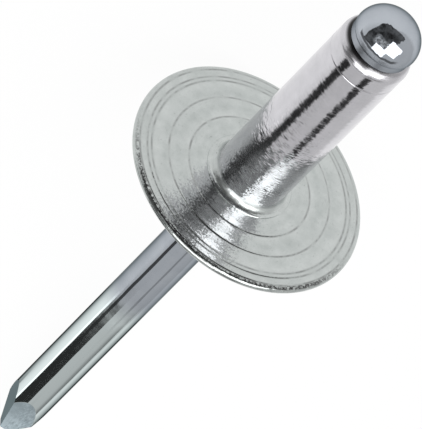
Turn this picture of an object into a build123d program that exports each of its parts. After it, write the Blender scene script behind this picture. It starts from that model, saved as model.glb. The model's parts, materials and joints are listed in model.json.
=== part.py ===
"""Blind rivet with a wide flange: a hollow aluminium body and the steel mandrel that sets it.

The rivet lies on a surface at z = 0 as it comes to rest, on the flange rim and one facet of the
mandrel's point. Its axis rises towards the domed head, which points to +X.
"""

from build123d import *
import os
from math import asin, atan2, cos, hypot, radians, sin, sqrt, tan

# Rivet body: a turned and headed aluminium tube
body_diameter = 4.8
body_length = 15.3
bore_clearance = 0.05
groove_below_end = 1.75
groove_width = 0.14
groove_depth = 0.04

# Rounding of the tube's end and chamfer of its mouth, as shares of the wall
end_rounding_share = 0.857
mouth_chamfer_share = 0.07

# Flange, from its seat face to the low crown on the tail side
flange_diameter = 16.0
flange_height = 1.9
rim_thickness = 0.5
hole_chamfer = 0.25
base_fillet = 0.5
base_lip_width = 0.07
base_lip_height = 0.06

# Rings pressed into the seat face, as shares of the flange radius
ring_radius_shares = (0.525, 0.70, 0.85, 0.886, 0.95)
ring_width = 0.18
ring_height = 0.04

# Mandrel: a headed steel nail with a break notch and a pinched point
mandrel_diameter = 2.95
mandrel_reach = 32.3
head_diameter = 4.26
collar_height = 0.45
collar_step = 0.09
head_rim_height = 0.51
dome_height = 1.45
dome_shoulder = 0.8
under_head_chamfer = 0.1
notch_below_head = 2.2
notch_depth = 0.45
notch_width = 0.8
point_half_angle = 13.6
point_end_width = 0.5
notch_count = 2

# Facets of the diamond-shaped point, by the share of a full turn from the upper side to each of them
facet_turn_shares = (0, 0.307, 0.5, 0.807)

# Length by which every cut runs past the metal
overrun = 1.0

# Radii and levels along the axis, measured from the seat face towards the head
body_radius = body_diameter / 2
flange_radius = flange_diameter / 2
mandrel_radius = mandrel_diameter / 2
head_radius = head_diameter / 2
bore_radius = mandrel_radius + bore_clearance
wall = body_radius - bore_radius
end_rounding = end_rounding_share * wall
mouth_chamfer = mouth_chamfer_share * wall
rim_radius = rim_thickness / 2
collar_radius = head_radius - collar_step
point_end = point_end_width / 2
rim_level = body_length + collar_height
dome_level = rim_level + head_rim_height
dome_inset = head_radius - dome_shoulder
dome_crown = (dome_inset**2 + dome_height**2 - dome_shoulder**2) / (dome_height - dome_shoulder) / 2
crown_level = dome_level + dome_height - dome_crown
point_slope = tan(radians(point_half_angle))
facet_level = -mandrel_reach + (mandrel_radius - point_end) / point_slope


def lean(reach, half_width):
    """Angle between the axis and a floor that touches the rim's round edge and one spot of the tail."""
    run = reach - rim_radius
    rise = flange_radius - rim_radius - half_width
    return atan2(rise, run) + asin(rim_radius / hypot(rise, run))


# Lie of the rivet, on the rim and on the upper corner or the end of the lowest facet
lie_angle = min(lean(-facet_level, mandrel_radius), lean(mandrel_reach, point_end))
lie_cos = cos(lie_angle)
lie_sin = sin(lie_angle)
seat_height = (flange_radius - rim_radius) * lie_cos + rim_radius * lie_sin + rim_radius
head_end = crown_level * lie_cos + dome_crown
tail_end = -mandrel_reach * lie_cos - point_end * lie_sin

# Directions of the axis, towards the head, and square to it on the upper side
axis_direction = Vector(lie_cos, 0, lie_sin)
upward = Vector(-lie_sin, 0, lie_cos)
seat_centre = Vector(-(head_end + tail_end) / 2, 0, seat_height)
rivet_axis = Axis(seat_centre, axis_direction)

os.makedirs("parts", exist_ok=True)


def half_plane(turn_share):
    """Plane through the axis, turned about it from the upper side by a share of a full turn."""
    outward = upward.rotate(Axis((0, 0, 0), axis_direction), turn_share * 360)
    return Plane(origin=seat_centre, x_dir=outward, z_dir=outward.cross(axis_direction))


def ring_points(share):
    """Foot, crest and foot of one low ring on the seat face."""
    middle = share * flange_radius
    return [
        (middle - ring_width / 2, 0),
        (middle, ring_height),
        (middle + ring_width / 2, 0),
    ]


# Rivet body: one revolved half section, up the bore and back down the outside
crown_span = flange_radius - rim_radius
crown_rise = flange_height - rim_thickness
crown_radius = (crown_span**2 + crown_rise**2) / (2 * crown_rise)
hole_radius = bore_radius + hole_chamfer
hole_level = crown_radius - flange_height - sqrt(crown_radius**2 - hole_radius**2)
groove_level = body_length - groove_below_end
fillet_foot = body_radius + base_fillet
lip_radius = fillet_foot + base_lip_width

with BuildPart() as rivet_body:
    with BuildSketch(half_plane(0)):
        with BuildLine():
            end_start = (body_radius, body_length - end_rounding)
            end_stop = (body_radius - end_rounding, body_length)
            bore = Polyline(
                (hole_radius, hole_level),
                (bore_radius, hole_level + hole_chamfer),
                (bore_radius, body_length - mouth_chamfer),
                (bore_radius + mouth_chamfer, body_length),
                end_stop,
            )
            RadiusArc(end_stop, end_start, end_rounding)
            tube = Polyline(
                end_start,
                (body_radius, groove_level + groove_width / 2),
                (body_radius - groove_depth, groove_level),
                (body_radius, groove_level - groove_width / 2),
                (body_radius, base_lip_height + base_fillet),
            )
            RadiusArc(tube @ 1, (fillet_foot, base_lip_height), -base_fillet)
            seat = Polyline(
                (fillet_foot, base_lip_height),
                (lip_radius, base_lip_height),
                (lip_radius, 0),
                *(point for share in ring_radius_shares for point in ring_points(share)),
                (flange_radius - rim_radius, 0),
            )
            ThreePointArc(
                seat @ 1,
                (flange_radius, -rim_radius),
                (flange_radius - rim_radius, -rim_thickness),
            )
            RadiusArc((flange_radius - rim_radius, -rim_thickness), bore @ 0, crown_radius)
        make_face()
    revolve(axis=rivet_axis)
rivet_body.part.label = "rivet_body"
export_step(rivet_body.part, "parts/rivet_body.step")

# Mandrel: a revolved head and shank, then the break notch and the point cut across it
notch_level = body_length - notch_below_head
join_share = dome_crown / (dome_crown - dome_shoulder)
dome_join = (dome_inset * join_share, crown_level + (dome_level - crown_level) * join_share)

with BuildPart() as mandrel:
    with BuildSketch(half_plane(0)):
        with BuildLine():
            shank = Polyline(
                (0, dome_level + dome_height),
                (0, -mandrel_reach),
                (mandrel_radius, -mandrel_reach),
                (mandrel_radius, body_length - under_head_chamfer),
                (mandrel_radius + under_head_chamfer, body_length),
                (collar_radius, body_length),
                (collar_radius, rim_level),
                (head_radius, rim_level),
                (head_radius, dome_level),
            )
            shoulder = TangentArc((head_radius, dome_level), dome_join, tangent=(0, 1))
            TangentArc(dome_join, shank @ 0, tangent=shoulder % 1)
        make_face()
    revolve(axis=rivet_axis)
    for turn in range(notch_count):
        with BuildSketch(half_plane(turn / notch_count)):
            with BuildLine():
                flare = notch_width * (notch_depth + overrun) / notch_depth / 2
                Polyline(
                    (mandrel_radius - notch_depth, notch_level),
                    (mandrel_radius + overrun, notch_level + flare),
                    (mandrel_radius + overrun, notch_level - flare),
                    close=True,
                )
            make_face()
        extrude(amount=mandrel_radius + overrun, both=True, mode=Mode.SUBTRACT)
    for turn_share in facet_turn_shares:
        with BuildSketch(half_plane(turn_share)):
            with BuildLine():
                Polyline(
                    (point_end - overrun * point_slope, -mandrel_reach - overrun),
                    (mandrel_radius + overrun * point_slope, facet_level + overrun),
                    (mandrel_radius + overrun * point_slope, -mandrel_reach - overrun),
                    close=True,
                )
            make_face()
        extrude(amount=mandrel_radius + overrun, both=True, mode=Mode.SUBTRACT)
mandrel.part.label = "mandrel"
export_step(mandrel.part, "parts/mandrel.step")
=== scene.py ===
import json
from math import atan2, cos, degrees, pi, radians, sin, sqrt, tan

import bpy
import numpy as np
from mathutils import Matrix, Vector


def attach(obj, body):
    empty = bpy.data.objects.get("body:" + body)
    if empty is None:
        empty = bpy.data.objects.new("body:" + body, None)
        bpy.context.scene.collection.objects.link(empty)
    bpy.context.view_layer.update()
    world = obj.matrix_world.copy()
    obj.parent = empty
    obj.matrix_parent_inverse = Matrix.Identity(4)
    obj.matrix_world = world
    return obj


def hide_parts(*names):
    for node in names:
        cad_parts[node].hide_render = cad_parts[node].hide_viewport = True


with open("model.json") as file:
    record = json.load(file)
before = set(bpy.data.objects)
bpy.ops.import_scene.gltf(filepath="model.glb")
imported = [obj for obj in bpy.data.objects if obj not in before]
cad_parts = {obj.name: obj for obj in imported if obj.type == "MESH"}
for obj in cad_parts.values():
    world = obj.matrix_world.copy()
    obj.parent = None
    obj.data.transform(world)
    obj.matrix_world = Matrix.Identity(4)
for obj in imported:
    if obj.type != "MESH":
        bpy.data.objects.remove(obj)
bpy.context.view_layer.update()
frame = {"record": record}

# Photograph's frame, in pixels, and where the middle of the flange's seat face shows in it
PHOTO_WIDTH = 422
PHOTO_HEIGHT = 429
SEAT_PIXEL = (249.6, 176.5)
PIXELS_PER_METRE = 16409.0

# Camera: its distance, the angle between sight line and rivet axis, its turn about that axis, and
# how steeply the axis rises in the image
CAMERA_DISTANCE = 0.280
CAMERA_CLIP = CAMERA_DISTANCE / 100
SIGHT_ANGLE = radians(45)
SIGHT_TURN = radians(13.7)
IMAGE_RISE = radians(45.32)
SENSOR_WIDTH = 36.0

# Rivet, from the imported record's mounts: its axis, the middle of the seat face and two radii
MILLIMETRE = 0.001
mounts = {mount["name"]: mount for mount in frame["record"]["mounts"]}
axis = Vector(mounts["shank"]["axis"]).normalized()
shank_middle = Vector(mounts["shank"]["pos_m"])
seat_centre = shank_middle + axis * axis.dot(Vector(mounts["flange_seat"]["pos_m"]) - shank_middle)
side = Vector((0, -1, 0))
upward = side.cross(axis)
TUBE_RADIUS = mounts["shank"]["dims"]["r_mm"] * MILLIMETRE
WIRE_RADIUS = mounts["mandrel_tail"]["dims"]["r_mm"] * MILLIMETRE

# Body sizes
TUBE_LENGTH = 0.0153
BORE_CLEARANCE = 0.00005
END_ROUNDING = 0.00075
MOUTH_CHAMFER = 0.00006
GROOVE_BELOW_END = 0.00175
GROOVE_WIDTH = 0.0001
GROOVE_DEPTH = 0.00002
GROOVE_EDGE = 0.00003
FLANGE_RADIUS = 0.008
FLANGE_HEIGHT = 0.0019
RIM_THICKNESS = 0.0005
HOLE_CHAMFER = 0.00025
BASE_FILLET = 0.0005
BASE_LIP_WIDTH = 0.00007
BASE_LIP_HEIGHT = 0.00006

# Rings of the seat face, and the slow waves round each of them that make its height uneven
RING_RADIUS_SHARES = (0.525, 0.70, 0.85, 0.886, 0.95)
RING_HEIGHT = 0.00004
RING_INNER_WIDTH = 0.00028
RING_OUTER_WIDTH = 0.00005
RING_UNEVENNESS = 0.25
RING_LEAST_WAVES = 2
RING_WAVE_SHIFT = 1.7

# Mandrel sizes
TAIL_REACH = 0.0323
HEAD_RADIUS = 0.00213
COLLAR_HEIGHT = 0.00045
COLLAR_STEP = 0.00009
HEAD_RIM_HEIGHT = 0.00021
HEAD_EDGE = 0.0002
HEAD_EDGE_TURN = 50
DOME_HEIGHT = 0.001745
UNDER_HEAD_CHAMFER = 0.0001
NOTCH_BELOW_HEAD = 0.0022
NOTCH_DEPTH = 0.00045
NOTCH_WIDTH = 0.0008
POINT_HALF_ANGLE = radians(13.6)
POINT_END = 0.00025
POINT_ROUNDING = 0.00012
FACET_TURNS = np.radians((0, 110, 180, 290))

# Least cosine that the notch's flat sides are divided by
LEAST_COSINE = 0.00025

# Mesh fineness: columns round the axis, steps along each half section, and angles of sharp edges
BODY_COLUMNS = 288
MANDREL_COLUMNS = 144
SEAT_STEP = 0.00003
END_STEPS = 14
UPPER_TUBE_STEPS = 4
GROOVE_EDGE_STEPS = 1
GROOVE_SIDE_STEPS = 2
LOWER_TUBE_STEPS = 24
FILLET_STEPS = 10
RIM_STEPS = 12
CROWN_STEPS = 24
DOME_STEPS = 40
HEAD_EDGE_STEPS = 10
UPPER_SHANK_STEPS = 2
NOTCH_STEPS = 16
LOWER_SHANK_STEPS = 8
TAIL_STEPS = 12
POINT_STEPS = 40
BODY_CREASE = radians(32)
MANDREL_CREASE = radians(14)


def arc(centre, radius, start, stop, steps):
    """Points of a circular arc in the half section, in degrees from the outward direction."""
    angles = np.radians(np.linspace(start, stop, steps + 1))
    return [(centre[0] + radius * cos(a), centre[1] + radius * sin(a)) for a in angles]


def line(start, stop, steps):
    """Points of a straight stretch, without its first one."""
    shares = np.linspace(0, 1, steps + 1)[1:]
    return [tuple(np.array(start) * (1 - s) + np.array(stop) * s) for s in shares]


def column_angles(columns):
    """Angles round the axis of a mesh's columns."""
    return np.arange(columns) * 2 * pi / columns


def turned_mesh(name, radii, levels, columns, closed, crease):
    """Mesh of rows by columns round the rivet's axis, facing outwards.

    A closed one joins its last row to its first, and an open one ends in two poles.
    """
    angles = column_angles(columns)
    points = np.stack([radii * np.cos(angles), radii * np.sin(angles), levels], axis=-1)
    vertices = list(points.reshape(-1, 3))
    rows = len(radii)
    faces = []
    for row in range(rows if closed else rows - 1):
        here, there = row * columns, (row + 1) % rows * columns
        for column in range(columns):
            beside = (column + 1) % columns
            faces.append((here + column, there + column, there + beside, here + beside))
    if not closed:
        for row, order in ((0, 1), (rows - 1, -1)):
            pole = len(vertices)
            vertices.append(np.array((0, 0, levels[row].mean())))
            for column in range(columns):
                beside = (column + 1) % columns
                corners = (row * columns + column, row * columns + beside, pole)
                faces.append(corners[::order])
    directions = np.array((upward, side, axis))
    places = np.array(vertices) @ directions + np.array(seat_centre)
    mesh = bpy.data.meshes.new(name)
    mesh.from_pydata(places.tolist(), [], faces)
    mesh.validate()
    mesh.shade_smooth()
    mesh.set_sharp_from_angle(angle=crease)
    return mesh


def placed(name, mesh, node, material):
    """Puts a mesh into the scene, in place of a CAD node."""
    piece = bpy.data.objects.new(name, mesh)
    bpy.context.scene.collection.objects.link(piece)
    mesh.materials.append(material)
    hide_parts(node)
    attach(piece, "root")


def ring_rise(radius, angles):
    """Height of the seat face: low rings that climb gently outwards and drop off sharply."""
    rise = np.zeros((len(radius), len(angles)))
    for index, share in enumerate(RING_RADIUS_SHARES):
        gap = radius[:, None] - share * FLANGE_RADIUS
        width = np.where(gap < 0, RING_INNER_WIDTH, RING_OUTER_WIDTH)
        waves = np.sin((index + RING_LEAST_WAVES) * angles + RING_WAVE_SHIFT * index)
        uneven = 1 - RING_UNEVENNESS + RING_UNEVENNESS * waves
        rise += RING_HEIGHT * uneven * np.exp(-((gap / width) ** 2))
    return rise


def body_mesh():
    """Hollow body: bore, tube end, tube, seat face with rings, rounded rim and low crown."""
    bore = WIRE_RADIUS + BORE_CLEARANCE
    hole = bore + HOLE_CHAMFER
    rim = RIM_THICKNESS / 2
    span = FLANGE_RADIUS - rim
    crown_rise = FLANGE_HEIGHT - RIM_THICKNESS
    crown = (span**2 + crown_rise**2) / (2 * crown_rise)
    crown_centre = (0, crown - FLANGE_HEIGHT)
    hole_level = crown_centre[1] - sqrt(crown**2 - hole**2)
    groove = TUBE_LENGTH - GROOVE_BELOW_END
    groove_top = groove + GROOVE_WIDTH / 2
    groove_bottom = groove - GROOVE_WIDTH / 2
    foot = TUBE_RADIUS + BASE_FILLET
    foot_top = BASE_LIP_HEIGHT + BASE_FILLET
    lip = foot + BASE_LIP_WIDTH
    inner = [
        (hole, hole_level),
        (bore, hole_level + HOLE_CHAMFER),
        (bore, TUBE_LENGTH - MOUTH_CHAMFER),
        (bore + MOUTH_CHAMFER, TUBE_LENGTH),
    ]
    end_centre = (TUBE_RADIUS - END_ROUNDING, TUBE_LENGTH - END_ROUNDING)
    tube = arc(end_centre, END_ROUNDING, 90, 0, END_STEPS)
    tube += line(tube[-1], (TUBE_RADIUS, groove_top + GROOVE_EDGE), UPPER_TUBE_STEPS)
    tube += line(tube[-1], (TUBE_RADIUS, groove_top), GROOVE_EDGE_STEPS)
    tube += line(tube[-1], (TUBE_RADIUS - GROOVE_DEPTH, groove), GROOVE_SIDE_STEPS)
    tube += line(tube[-1], (TUBE_RADIUS, groove_bottom), GROOVE_SIDE_STEPS)
    tube += line(tube[-1], (TUBE_RADIUS, groove_bottom - GROOVE_EDGE), GROOVE_EDGE_STEPS)
    tube += line(tube[-1], (TUBE_RADIUS, foot_top), LOWER_TUBE_STEPS)
    tube += arc((foot, foot_top), BASE_FILLET, 180, 270, FILLET_STEPS)[1:]
    tube += [(lip - BASE_LIP_HEIGHT / 2, BASE_LIP_HEIGHT), (lip, BASE_LIP_HEIGHT / 2), (lip, 0)]
    seat = np.linspace(lip, span, int((span - lip) / SEAT_STEP))[1:]
    start = degrees(atan2(-RIM_THICKNESS - crown_centre[1], span))
    stop = degrees(atan2(hole_level - crown_centre[1], hole))
    outer = arc((span, -rim), rim, 90, -90, RIM_STEPS)[1:]
    outer += arc(crown_centre, crown, start, stop, CROWN_STEPS)[1:-1]
    around = np.ones((1, BODY_COLUMNS))
    before, after = np.array(inner + tube), np.array(outer)
    rings = ring_rise(seat, column_angles(BODY_COLUMNS))
    radii = np.concatenate([before[:, :1], seat[:, None], after[:, :1]]) * around
    levels = np.concatenate([before[:, 1:] * around, rings, after[:, 1:] * around])
    return turned_mesh("rivet_body_shell", radii, levels, BODY_COLUMNS, True, BODY_CREASE)


def mandrel_mesh():
    """Mandrel: domed head, collar, shank with its break notch, and a point of four facets."""
    angles = column_angles(MANDREL_COLUMNS)
    around = np.ones((1, MANDREL_COLUMNS))
    rim_level = TUBE_LENGTH + COLLAR_HEIGHT
    dome_level = rim_level + HEAD_RIM_HEIGHT
    edge_centre = (HEAD_RADIUS - HEAD_EDGE, rim_level + HEAD_EDGE)
    collar = HEAD_RADIUS - COLLAR_STEP
    notch = TUBE_LENGTH - NOTCH_BELOW_HEAD
    dome = arc((0, 0), 1, 90, 0, DOME_STEPS)[1:]
    head = [(HEAD_RADIUS * out, dome_level + DOME_HEIGHT * rise) for out, rise in dome]
    head += arc(edge_centre, HEAD_EDGE, 0, -HEAD_EDGE_TURN, HEAD_EDGE_STEPS)
    head += [(collar, rim_level), (collar, TUBE_LENGTH)]
    head += [(WIRE_RADIUS + UNDER_HEAD_CHAMFER, TUBE_LENGTH)]
    head += [(WIRE_RADIUS, TUBE_LENGTH - UNDER_HEAD_CHAMFER)]
    head += line(head[-1], (WIRE_RADIUS, notch + NOTCH_WIDTH / 2), UPPER_SHANK_STEPS)
    head += line(head[-1], (WIRE_RADIUS, notch - NOTCH_WIDTH / 2), NOTCH_STEPS)
    head += line(head[-1], (WIRE_RADIUS, 0), LOWER_SHANK_STEPS)
    head = np.array(head)
    radii, levels = head[:, :1] * around, head[:, 1:] * around

    # The notch flattens the wire from both sides, to the least width halfway along it
    depth = np.clip(1 - 2 * np.abs(levels - notch) / NOTCH_WIDTH, 0, 1) * NOTCH_DEPTH
    limit = (WIRE_RADIUS - depth) / np.maximum(np.abs(np.cos(angles)), LEAST_COSINE)
    radii = np.where(depth > 0, np.minimum(radii, limit), radii)

    # Each column of the point starts where its facet leaves the round wire
    facing = np.cos(angles - FACET_TURNS[:, None]).max(axis=0)
    slope = tan(POINT_HALF_ANGLE)
    begin = -TAIL_REACH + (WIRE_RADIUS * facing - POINT_END) / slope
    tail_levels = np.linspace(0, 1, TAIL_STEPS + 1)[1:, None] * begin
    point_shares = np.linspace(0, 1, POINT_STEPS + 1)[1:, None]
    point_levels = begin + point_shares * (-TAIL_REACH - begin)
    point_radii = (POINT_END + (point_levels + TAIL_REACH) * slope) / facing

    # The point's very end is rounded
    near_end = np.clip(1 - (point_levels + TAIL_REACH) / POINT_ROUNDING, 0, 1)
    point_radii -= POINT_ROUNDING * (1 - np.sqrt(1 - near_end**2))
    radii = np.concatenate([radii, WIRE_RADIUS * np.ones_like(tail_levels), point_radii])
    levels = np.concatenate([levels, tail_levels, point_levels])
    return turned_mesh("mandrel_pin", radii, levels, MANDREL_COLUMNS, False, MANDREL_CREASE)


# Span of a noise value that counts as its full swing
NOISE_SPAN = (0.25, 0.75)
WHITE = (1, 1, 1, 1)


def add(tree, kind, *values, **settings):
    """Node of a tree, with its settings and its first inputs as values or linked sockets."""
    made = tree.nodes.new("ShaderNode" + kind)
    for name, value in settings.items():
        setattr(made, name, value)
    for socket, value in zip(made.inputs, values):
        if isinstance(value, bpy.types.NodeSocket):
            tree.links.new(value, socket)
        elif value is not None:
            socket.default_value = value
    return made


def calc(tree, operation, *values):
    """Output of a Math node."""
    return add(tree, "Math", *values, operation=operation).outputs[0]


def times(tree, value, factor):
    """Value times a factor."""
    return calc(tree, "MULTIPLY", value, factor)


def dot(tree, vector, direction):
    """Part of a vector along a fixed direction."""
    made = add(tree, "VectorMath", vector, tuple(direction), operation="DOT_PRODUCT")
    return made.outputs["Value"]


def smooth(tree, value, low, high):
    """0 below low, 1 above high, smooth between."""
    made = add(tree, "MapRange", value, low, high, 0.0, 1.0, interpolation_type="SMOOTHSTEP")
    return made.outputs[0]


def spread(tree, value, low, high, start, stop):
    """A value from low to high turned into one from start to stop."""
    return add(tree, "MapRange", value, low, high, start, stop).outputs[0]


def between(tree, value, low, high, soft):
    """1 from low to high and 0 outside, with soft edges."""
    rising = smooth(tree, value, low - soft, low + soft)
    falling = smooth(tree, value, high - soft, high + soft)
    return calc(tree, "SUBTRACT", rising, falling)


def blend(tree, share, first, second):
    """Number between first and second."""
    return add(tree, "Mix", share, None, first, second).outputs[0]


def toned(tree, share, first, second):
    """Colour between first and second."""
    made = add(tree, "Mix", share, data_type="RGBA")
    for socket, colour in (("A", first), ("B", second)):
        if isinstance(colour, bpy.types.NodeSocket):
            tree.links.new(colour, made.inputs[socket])
        else:
            made.inputs[socket].default_value = (*colour, 1)
    return made.outputs["Result"]


def noise(tree, vector, scale, detail, roughness):
    """Noise value, about 0.5 in the middle."""
    return add(tree, "TexNoise", vector, None, scale, detail, roughness).outputs[0]


def swing(tree, vector, settings, amount):
    """Noise of the given scale, detail and roughness, between about minus and plus the amount."""
    return spread(tree, noise(tree, vector, *settings), *NOISE_SPAN, -amount, amount)


def weighted(tree, *pairs):
    """Sum of vectors, each times a number or a linked value."""
    total = None
    for vector, weight in pairs:
        scaled = add(tree, "VectorMath", vector, operation="SCALE")
        if isinstance(weight, bpy.types.NodeSocket):
            tree.links.new(weight, scaled.inputs["Scale"])
        else:
            scaled.inputs["Scale"].default_value = weight
        term = scaled.outputs[0]
        if total is None:
            total = term
        else:
            total = add(tree, "VectorMath", total, term, operation="ADD").outputs[0]
    return total


def crossed(tree, first, second):
    """Unit vector square to two others."""
    made = add(tree, "VectorMath", first, second, operation="CROSS_PRODUCT").outputs[0]
    return add(tree, "VectorMath", made, operation="NORMALIZE").outputs[0]


def joined(tree, x, y, z):
    """Vector from three values."""
    return add(tree, "CombineXYZ", x, y, z).outputs[0]


def new_metal(name, colour):
    """Material with a metal shader. Returns the material, its tree and the shader node."""
    material = bpy.data.materials.new(name)
    material.use_nodes = True
    tree = material.node_tree
    shader = tree.nodes["Principled BSDF"]
    shader.inputs["Base Color"].default_value = (*colour, 1)
    shader.inputs["Metallic"].default_value = 1.0
    return material, tree, shader


class Place:
    """Where a shaded point lies on the rivet, in millimetres, and the directions of its surface."""

    def __init__(self, tree):
        position = add(tree, "TexCoord").outputs["Object"]
        centre = tuple(seat_centre)
        offset = add(tree, "VectorMath", position, centre, operation="SUBTRACT").outputs[0]
        self.x = times(tree, dot(tree, offset, upward), 1 / MILLIMETRE)
        self.y = times(tree, dot(tree, offset, side), 1 / MILLIMETRE)
        self.level = times(tree, dot(tree, offset, axis), 1 / MILLIMETRE)
        self.spot = joined(tree, self.x, self.y, self.level)
        flat = joined(tree, self.x, self.y, 0.0)
        self.radius = add(tree, "VectorMath", flat, operation="LENGTH").outputs["Value"]
        self.run = calc(tree, "ADD", self.radius, self.level)
        self.normal = add(tree, "NewGeometry").outputs["Normal"]
        self.round = crossed(tree, tuple(axis), offset)
        self.profile = crossed(tree, self.round, self.normal)


def stretched(tree, place, height, sideways, lengthways):
    """Point of the rivet with its two sides and a given height scaled."""
    x, y = times(tree, place.x, sideways), times(tree, place.y, sideways)
    return joined(tree, x, y, times(tree, height, lengthways))


def wound(tree, place, turns, lengthways):
    """Point on a roll of radius one, scaled round the axis and along the profile."""
    flat = joined(tree, place.x, place.y, 0.0)
    run = joined(tree, 0.0, 0.0, place.run)
    return weighted(tree, (flat, calc(tree, "DIVIDE", turns, place.radius)), (run, lengthways))


def tilted(tree, place, round_tilt, profile_tilt, shader):
    """Sets the shader's normal, tilted round the axis and along the profile."""
    around, along = (place.round, round_tilt), (place.profile, profile_tilt)
    leaning = weighted(tree, (place.normal, 1.0), around, along)
    made = add(tree, "VectorMath", leaning, operation="NORMALIZE").outputs[0]
    tree.links.new(made, shader.inputs["Normal"])


def ring_lines(tree, place, width):
    """1 in the narrow foot outside each ring of the seat face, 0 elsewhere."""
    lines = None
    for share in RING_RADIUS_SHARES:
        foot = (share * FLANGE_RADIUS + RING_OUTER_WIDTH) / MILLIMETRE
        ring = between(tree, place.radius, foot - width, foot + width, width)
        lines = ring if lines is None else calc(tree, "MAXIMUM", lines, ring)
    return lines


# Values below are in millimetres from the seat face along the axis, or from the axis outwards.
# A noise has its scale, detail and roughness, and a stretch its scale sideways and lengthways.

# Cloudy tone of both metals: the noise values where it is darkest and lightest
CLOUD_SPAN = (0.3, 0.7)

# Stretches of the body: tube, its rounded foot and end, and painted shade in the crevice round the
# mandrel's head, darker on one side
TUBE = (0.2, 0.7)
TUBE_FOOT = (0.08, 0.5)
FOOT_EDGE = 0.05
TUBE_END = (14.45, 14.75)
CREVICE_SHADE = (14.95, 15.15)
CREVICE_SHADE_SIDES = (-1.5, 1.5)
CREVICE_SHADE_SHARES = (1.0, 0.35)

# Roughness of the aluminium
SEAT_ROUGHNESS = (0.12, 0.22)
TUBE_ROUGHNESS = 0.1
FOOT_ROUGHNESS = 0.3
END_ROUGHNESS = 0.25

# Speckle of the seat face, which is stronger low on the tube and fades out above
SPECKLE = (7.0, 3.0, 0.65)
SPECKLE_TILT = 0.09
GRAIN_FADE = (2.0, 4.5)
GRAIN_GAIN = 2.0

# Bristles across the tube's streaks
BRISTLES = (1.0, 3.0, 0.65)
BRISTLE_STRETCH = (1.6, 15.0)
BRISTLE_TILT = 0.07

# Hairs turned round the axis, strongest low on the tube, and wider ripples on the seat face
HAIRS = (1.0, 2.0, 0.6)
HAIR_STRETCH = (5.0, 14.0)
HAIR_TILT = 0.05
SEAT_HAIR_GAIN = 0.6
TUBE_HAIR_GAIN = (0.8, 3.0)
TUBE_HAIR_FADE = (3.0, 9.0)
RIPPLES = (1.0, 2.0, 0.6)
RIPPLE_STRETCH = (6.0, 4.0)
RIPPLE_TILT = 0.06

# Painted shade in the feet of the rings, grime on the upper half of the rim, and small pits
RING_SHADE = (0.9, 4.0, 0.7)
RING_SHADE_SPAN = (0.3, 0.65)
RING_SHADE_SHARE = 0.6
RING_SHADE_WIDTH = 0.06
SEAT_FACE = (-0.15, -0.03)
GRIME = (5.0, 3.0, 0.7)
GRIME_SPAN = (0.4, 0.55)
GRIME_BAND = (7.68, 7.92)
GRIME_EDGE = 0.06
GRIME_SIDE = (0.0, 5.0)
PITS = (1.0, 2.0, 0.5)
PIT_STRETCH = (6.0, 14.0)
PIT_SPAN = (0.64, 0.78)
PIT_SHARE = 0.45

# Lighter and darker terraces of the seat face
TERRACES = (1.3, 1.0, 0.5)
TERRACE_SWING = 0.5
TERRACE_SPAN = (-0.3, 0.3)
TERRACE_SHARE = 0.2

# Tones of the aluminium
BODY_CLOUDS = (0.9, 5.0, 0.65)
BODY_TONE = (0.6, 0.6, 0.6)
SEAT_TONES = ((0.43, 0.46, 0.45), (0.57, 0.60, 0.59))
WALL_TONES = ((0.58, 0.575, 0.60), (0.66, 0.65, 0.68))
TERRACE_TONE = (0.75, 0.77, 0.76)
# Painted shade in the feet of the rings, also the tone of the rim's grime and of the pits
SHADE_AND_DIRT_TONE = (0.08, 0.08, 0.08)
# Painted shade in the crevice round the mandrel's head
CREVICE_SHADE_TONE = (0.03, 0.03, 0.03)


def body_tilts(tree, place, tube):
    """Tilts of the aluminium's surface, round the axis and along the profile."""
    speckle = swing(tree, place.spot, SPECKLE, SPECKLE_TILT)
    grain = times(tree, speckle, spread(tree, place.level, *GRAIN_FADE, GRAIN_GAIN, 0.0))
    bristles = stretched(tree, place, place.level, *BRISTLE_STRETCH)
    bristle_tilt = calc(tree, "ADD", swing(tree, bristles, BRISTLES, BRISTLE_TILT), grain)
    hairs = swing(tree, wound(tree, place, *HAIR_STRETCH), HAIRS, HAIR_TILT)
    ripples = swing(tree, wound(tree, place, *RIPPLE_STRETCH), RIPPLES, RIPPLE_TILT)
    seat_tilt = calc(tree, "ADD", times(tree, hairs, SEAT_HAIR_GAIN), ripples)
    low = times(tree, tube, spread(tree, place.level, *TUBE_HAIR_FADE, 1.0, 0.0))
    tube_tilt = times(tree, hairs, blend(tree, low, *TUBE_HAIR_GAIN))
    round_tilt = blend(tree, tube, speckle, bristle_tilt)
    return round_tilt, blend(tree, tube, seat_tilt, tube_tilt)


def body_shade_and_dirt(tree, place, tube):
    """Share of painted shade in the feet of the rings, and of dirt on the rim and in pits."""
    face = calc(tree, "SUBTRACT", smooth(tree, place.level, *SEAT_FACE), tube)
    # Painted shade in the feet of the rings
    shade_and_dirt = smooth(tree, noise(tree, place.spot, *RING_SHADE), *RING_SHADE_SPAN)
    shade_and_dirt = times(tree, times(tree, shade_and_dirt, ring_lines(tree, place, RING_SHADE_WIDTH)), face)
    grime = smooth(tree, noise(tree, place.spot, *GRIME), *GRIME_SPAN)
    grime = times(tree, grime, between(tree, place.radius, *GRIME_BAND, GRIME_EDGE))
    grime = times(tree, grime, smooth(tree, place.x, *GRIME_SIDE))
    pits = stretched(tree, place, place.run, *PIT_STRETCH)
    pits = smooth(tree, noise(tree, pits, *PITS), *PIT_SPAN)
    shade_and_dirt = calc(tree, "MAXIMUM", times(tree, shade_and_dirt, RING_SHADE_SHARE), grime)
    return calc(tree, "MAXIMUM", shade_and_dirt, times(tree, pits, PIT_SHARE))


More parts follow.
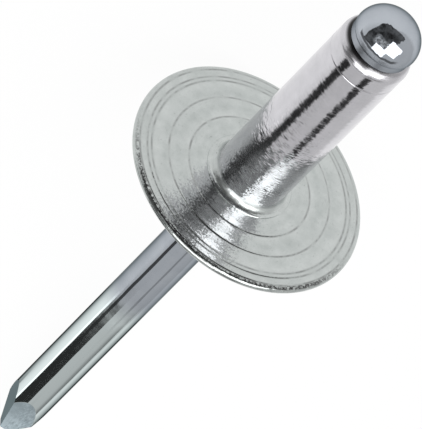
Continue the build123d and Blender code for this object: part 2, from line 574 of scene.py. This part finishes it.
def aluminium():
    """Turned aluminium: hairs round the axis, bristly streaks, cloudy tone, painted shade in the
    feet of the rings and in the crevice round the mandrel's head.
    """
    material, tree, shader = new_metal("body_aluminium", BODY_TONE)
    place = Place(tree)
    tube = smooth(tree, place.level, *TUBE)
    tilted(tree, place, *body_tilts(tree, place, tube), shader)

    clouds = noise(tree, place.spot, *BODY_CLOUDS)
    rough = blend(tree, tube, spread(tree, clouds, *CLOUD_SPAN, *SEAT_ROUGHNESS), TUBE_ROUGHNESS)
    rough = blend(tree, between(tree, place.level, *TUBE_FOOT, FOOT_EDGE), rough, FOOT_ROUGHNESS)
    rough = blend(tree, smooth(tree, place.level, *TUBE_END), rough, END_ROUGHNESS)
    tree.links.new(rough, shader.inputs["Roughness"])

    cloudy = spread(tree, clouds, *CLOUD_SPAN, 0.0, 1.0)
    terraces = swing(tree, joined(tree, place.radius, 0.0, 0.0), TERRACES, TERRACE_SWING)
    terraces = spread(tree, terraces, *TERRACE_SPAN, 0.0, TERRACE_SHARE)
    seat = toned(tree, terraces, toned(tree, cloudy, *SEAT_TONES), TERRACE_TONE)
    # Painted shade in the feet of the rings, and dirt on the rim and in pits
    seat = toned(tree, body_shade_and_dirt(tree, place, tube), seat, SHADE_AND_DIRT_TONE)
    # Painted shade in the crevice round the mandrel's head, darker on one side
    shadowed = spread(tree, place.y, *CREVICE_SHADE_SIDES, *CREVICE_SHADE_SHARES)
    crevice_shade = times(tree, smooth(tree, place.level, *CREVICE_SHADE), shadowed)
    wall = toned(tree, crevice_shade, toned(tree, cloudy, *WALL_TONES), CREVICE_SHADE_TONE)
    tree.links.new(toned(tree, tube, seat, wall), shader.inputs["Base Color"])
    return material


# Neck of the mandrel's head: collar and rim, which forming left dull
HEAD_NECK = (15.2, 16.15)
NECK_EDGE = 0.08
NECK_ROUGHNESS = 0.34

# Dome of the head and the small dents in it
HEAD_DOME = (15.95, 16.3)
DENTS = (2.2, 3.0, 0.6)
DENT_TILT = 0.035

# Drawing lines along the wire, and a faint waviness
LINES = (1.0, 2.0, 0.6)
LINE_STRETCH = (9.0, 0.35)
LINE_TILT = 0.015
WAVES = (1.0, 2.0, 0.6)
WAVE_TILT = 0.0015

# Where the steel is toned brighter as painted light, on the tail's side of the seat, and the share
# of the wire's radius inside which the tail is a cut facet
TAIL_SPAN = (13.5, 16.5)
CUT_SHARE = 0.99

# Roughness and tones of the steel, and the tints of its edges seen at a glancing angle
PLATE_ROUGHNESS = (0.03, 0.06)
PLATE_CLOUDS = (0.7, 5.0, 0.6)
STEEL_TONE = (0.44, 0.47, 0.51)
PLATE_TONES = ((0.41, 0.44, 0.48), (0.47, 0.50, 0.54))
# Tone of the tail: the plating toned brighter as painted light
TAIL_LIT_TONE = (0.80, 0.88, 0.88)
FACET_TONES = ((0.54, 0.64, 0.69), (0.63, 0.73, 0.78))
SHANK_TINT = (0.24, 0.26, 0.26)
TAIL_TINT = (0.0, 0.0, 0.0)
FACET_TINT = (0.2, 0.22, 0.22)


def steel():
    """Drawn steel wire with a thin bluish plating, toned brighter on the tail as painted light, and
    bare cut facets.
    """
    material, tree, shader = new_metal("mandrel_steel", STEEL_TONE)
    place = Place(tree)
    dome = smooth(tree, place.level, *HEAD_DOME)
    dents = times(tree, dome, swing(tree, place.spot, DENTS, DENT_TILT))
    lines = swing(tree, stretched(tree, place, place.level, *LINE_STRETCH), LINES, LINE_TILT)
    waves = swing(tree, place.spot, WAVES, WAVE_TILT)
    round_tilt, profile_tilt = (calc(tree, "ADD", tilt, dents) for tilt in (lines, waves))
    tilted(tree, place, round_tilt, profile_tilt, shader)

    clouds = noise(tree, place.spot, *PLATE_CLOUDS)
    neck = between(tree, place.level, *HEAD_NECK, NECK_EDGE)
    rough = blend(tree, neck, spread(tree, clouds, *CLOUD_SPAN, *PLATE_ROUGHNESS), NECK_ROUGHNESS)
    tree.links.new(rough, shader.inputs["Roughness"])

    cloudy = spread(tree, clouds, *CLOUD_SPAN, 0.0, 1.0)
    tail = smooth(tree, times(tree, place.level, -1.0), *TAIL_SPAN)
    inside = calc(tree, "LESS_THAN", place.radius, CUT_SHARE * WIRE_RADIUS / MILLIMETRE)
    cut = times(tree, tail, inside)
    # The tail's brighter tone is painted light
    plated_and_lit = toned(tree, tail, toned(tree, cloudy, *PLATE_TONES), TAIL_LIT_TONE)
    tone = toned(tree, cut, plated_and_lit, toned(tree, cloudy, *FACET_TONES))
    tint = toned(tree, cut, toned(tree, tail, SHANK_TINT, TAIL_TINT), FACET_TINT)
    tree.links.new(tone, shader.inputs["Base Color"])
    tree.links.new(tint, shader.inputs["Specular Tint"])
    return material


# Directions of the view: the axis's outward side and the side across it as seen from the camera,
# the direction to the camera, the axis as it runs in the image, and the image's own two sides
sight_side = upward * cos(SIGHT_TURN) - side * sin(SIGHT_TURN)
across_axis = upward * sin(SIGHT_TURN) + side * cos(SIGHT_TURN)
to_camera = axis * cos(SIGHT_ANGLE) + sight_side * sin(SIGHT_ANGLE)
along_axis = axis * sin(SIGHT_ANGLE) - sight_side * cos(SIGHT_ANGLE)
image_right = along_axis * cos(IMAGE_RISE) + across_axis * sin(IMAGE_RISE)
image_up = along_axis * sin(IMAGE_RISE) - across_axis * cos(IMAGE_RISE)


def photo_camera():
    """Camera at the photograph's viewing angle, with the rivet's axis on the image's diagonal."""
    data = bpy.data.cameras.new("photo_camera")
    data.sensor_width = SENSOR_WIDTH
    pixels = PIXELS_PER_METRE * CAMERA_DISTANCE
    data.lens = SENSOR_WIDTH * pixels / max(PHOTO_WIDTH, PHOTO_HEIGHT)
    data.clip_start = CAMERA_CLIP
    camera = bpy.data.objects.new("photo_camera", data)
    right = (SEAT_PIXEL[0] - PHOTO_WIDTH / 2) / PIXELS_PER_METRE
    up = (PHOTO_HEIGHT / 2 - SEAT_PIXEL[1]) / PIXELS_PER_METRE
    spot = seat_centre + to_camera * CAMERA_DISTANCE - image_right * right - image_up * up
    turn = Matrix((image_right, image_up, to_camera)).transposed().to_4x4()
    camera.matrix_world = Matrix.Translation(spot) @ turn
    bpy.context.scene.collection.objects.link(camera)
    bpy.context.scene.camera = camera


# Studio round the rivet: strength of its left and right walls, and of the left wall near the floor
LEFT_LIGHT = 0.8
RIGHT_LIGHT = 0.72
LOW_LIGHT = 0.95
LOW_RISE = (0.0, 0.3)
ROOM_SIDES = (-0.3, 0.5)

# Strips along the rivet, each with its start and stop round the axis, its strength and the width
# of its soft edge, in degrees. The tube mirrors the first set, the wire behind the flange the
# second and the tail the third. Each set begins further back along the axis.
BODY_STRIPS = ((-20, 36, 0.68, 1), (-43, -19, 0.03, 1), (34, 55, 0.03, 1))
WIRE_STRIPS = ((-24, 42, 0.72, 1), (-39, -23, 0.1, 1), (41, 50, 0.42, 1))
TAIL_STRIPS = ((-68, -50, 1.5, 1), (-52, 8, 0.025, 1), (8, 120, 0.5, 1), (76, 120, 0.2, 16))
BODY_START = (0.45, 0.55)
WIRE_START = (0.707, 0.711)
TAIL_START = (0.7248, 0.7288)

# Dark ring round the axis, on the camera's side
RING_LIGHT = 0.18
DARK_RING = (0.16, 0.36)
DARK_RING_EDGE = 0.05
DARK_RING_TURN = radians(75)
DARK_RING_TURN_EDGE = 0.2

# Walls and window panes behind the camera, as slopes of the head's dome that mirror them: along
# the axis and across it, from where the dome faces the camera. The dark and the grey wall are
# mottled between two strengths.
PANES = (((-0.51, -0.18), (-0.11, 0.29)), ((-0.22, 0.23), (0.19, 0.63)))
PANE_LIGHT = 3.3
PANE_EDGE = 0.012
DARK_WALL = ((-0.45, 1.2), (-0.47, 0.25))
DARK_LIGHT = (0.02, 0.19)
DARK_MOTTLE = (3.0, 4.0, 0.6)
WALL_SLANT = 0.3
GREY_WALL = ((-0.22, 0.08), (-0.22, 0.20))
GREY_LIGHT = (0.12, 0.8)
GREY_MOTTLE = (9.0, 3.0, 0.6)
GREY_EDGE = 0.06
MOTTLE_SPAN = (0.35, 0.65)

# Added to the part towards the camera, so that the slope's divisor stays above zero
SLOPE_OFFSET = 1.0001


def strip_light(tree, turn, light, strips):
    """Light with strips along the rivet, each from one turn about its axis to another."""
    for low, high, strength, edge in strips:
        inside = between(tree, turn, radians(low), radians(high), radians(edge))
        light = blend(tree, inside, light, strength)
    return light


def studio_world():
    """Soft room light with window panes, walls behind the camera and strips along the rivet."""
    world = bpy.data.worlds.new("studio")
    bpy.context.scene.world = world
    world.use_nodes = True
    tree = world.node_tree
    tree.nodes.clear()
    direction = add(tree, "TexCoord").outputs["Generated"]
    crosswise = dot(tree, direction, across_axis)
    turn = calc(tree, "ARCTAN2", crosswise, dot(tree, direction, sight_side))
    back = dot(tree, direction, -axis)
    rise = dot(tree, direction, (0, 0, 1))
    left = blend(tree, smooth(tree, rise, *LOW_RISE), LOW_LIGHT, LEFT_LIGHT)
    room = blend(tree, smooth(tree, crosswise, *ROOM_SIDES), left, RIGHT_LIGHT)

    light = room
    sets = ((BODY_STRIPS, BODY_START), (WIRE_STRIPS, WIRE_START), (TAIL_STRIPS, TAIL_START))
    for strips, start in sets:
        striped = strip_light(tree, turn, room, strips)
        light = blend(tree, smooth(tree, back, *start), light, striped)
    ring = between(tree, back, *DARK_RING, DARK_RING_EDGE)
    near = between(tree, turn, -DARK_RING_TURN, DARK_RING_TURN, DARK_RING_TURN_EDGE)
    light = blend(tree, times(tree, ring, near), light, RING_LIGHT)

    depth = calc(tree, "ADD", dot(tree, direction, to_camera), SLOPE_OFFSET)
    along = calc(tree, "DIVIDE", dot(tree, direction, along_axis), depth)
    across = calc(tree, "DIVIDE", crosswise, depth)
    slanted = calc(tree, "SUBTRACT", across, times(tree, along, WALL_SLANT))
    dark = spread(tree, noise(tree, direction, *DARK_MOTTLE), *MOTTLE_SPAN, *DARK_LIGHT)
    grey = spread(tree, noise(tree, direction, *GREY_MOTTLE), *MOTTLE_SPAN, *GREY_LIGHT)
    walls = [(DARK_WALL, slanted, dark, PANE_EDGE), (GREY_WALL, across, grey, GREY_EDGE)]
    walls += [(pane, across, PANE_LIGHT, PANE_EDGE) for pane in PANES]
    for (lengthways, crossways), sideways, strength, edge in walls:
        inside = between(tree, along, *lengthways, edge)
        inside = times(tree, inside, between(tree, sideways, *crossways, edge))
        light = blend(tree, inside, light, strength)
    background = add(tree, "Background", WHITE, light)
    tree.links.new(background.outputs[0], add(tree, "OutputWorld").inputs["Surface"])


# Floor: its size, its own colour and dull surface, how white it shows, and the shade that falls
# on one side of it, in metres from the rivet
FLOOR_SIZE = 3.0
FLOOR_COLOUR = (0.93, 0.93, 0.93, 1)
FLOOR_ROUGHNESS = 0.9
FLOOR_SHINE = 0.1
FLOOR_WHITE = 0.95
FLOOR_SHADE = 0.7
SHADE_REACH = (0.02, 0.055)


def pale_floor():
    """Wide pale floor, near white to eye and metal, with a faint shadow and a shaded side."""
    half = FLOOR_SIZE / 2
    corners = [(-half, -half, 0), (half, -half, 0), (half, half, 0), (-half, half, 0)]
    mesh = bpy.data.meshes.new("floor")
    mesh.from_pydata(corners, [], [(0, 1, 2, 3)])
    floor = bpy.data.objects.new("floor", mesh)
    bpy.context.scene.collection.objects.link(floor)
    material = bpy.data.materials.new("floor_white")
    material.use_nodes = True
    tree = material.node_tree
    shader = tree.nodes["Principled BSDF"]
    shader.inputs["Base Color"].default_value = FLOOR_COLOUR
    shader.inputs["Roughness"].default_value = FLOOR_ROUGHNESS
    shader.inputs["Specular IOR Level"].default_value = FLOOR_SHINE
    path = add(tree, "LightPath")
    seen = calc(tree, "MAXIMUM", path.outputs["Is Camera Ray"], path.outputs["Is Glossy Ray"])
    seen = calc(tree, "MAXIMUM", seen, path.outputs["Is Transmission Ray"])
    sideways = dot(tree, add(tree, "NewGeometry").outputs["Position"], side)
    shade = blend(tree, smooth(tree, sideways, *SHADE_REACH), 1.0, FLOOR_SHADE)
    glow = add(tree, "Emission", WHITE, shade)
    white = times(tree, seen, FLOOR_WHITE)
    surface = add(tree, "MixShader", white, shader.outputs[0], glow.outputs[0])
    tree.links.new(surface.outputs[0], tree.nodes["Material Output"].inputs["Surface"])
    mesh.materials.append(material)


placed("rivet_body_shell", body_mesh(), "rivet_body", aluminium())
placed("mandrel_pin", mandrel_mesh(), "mandrel", steel())
photo_camera()
studio_world()
pale_floor()
bpy.context.scene.view_settings.view_transform = "Standard"
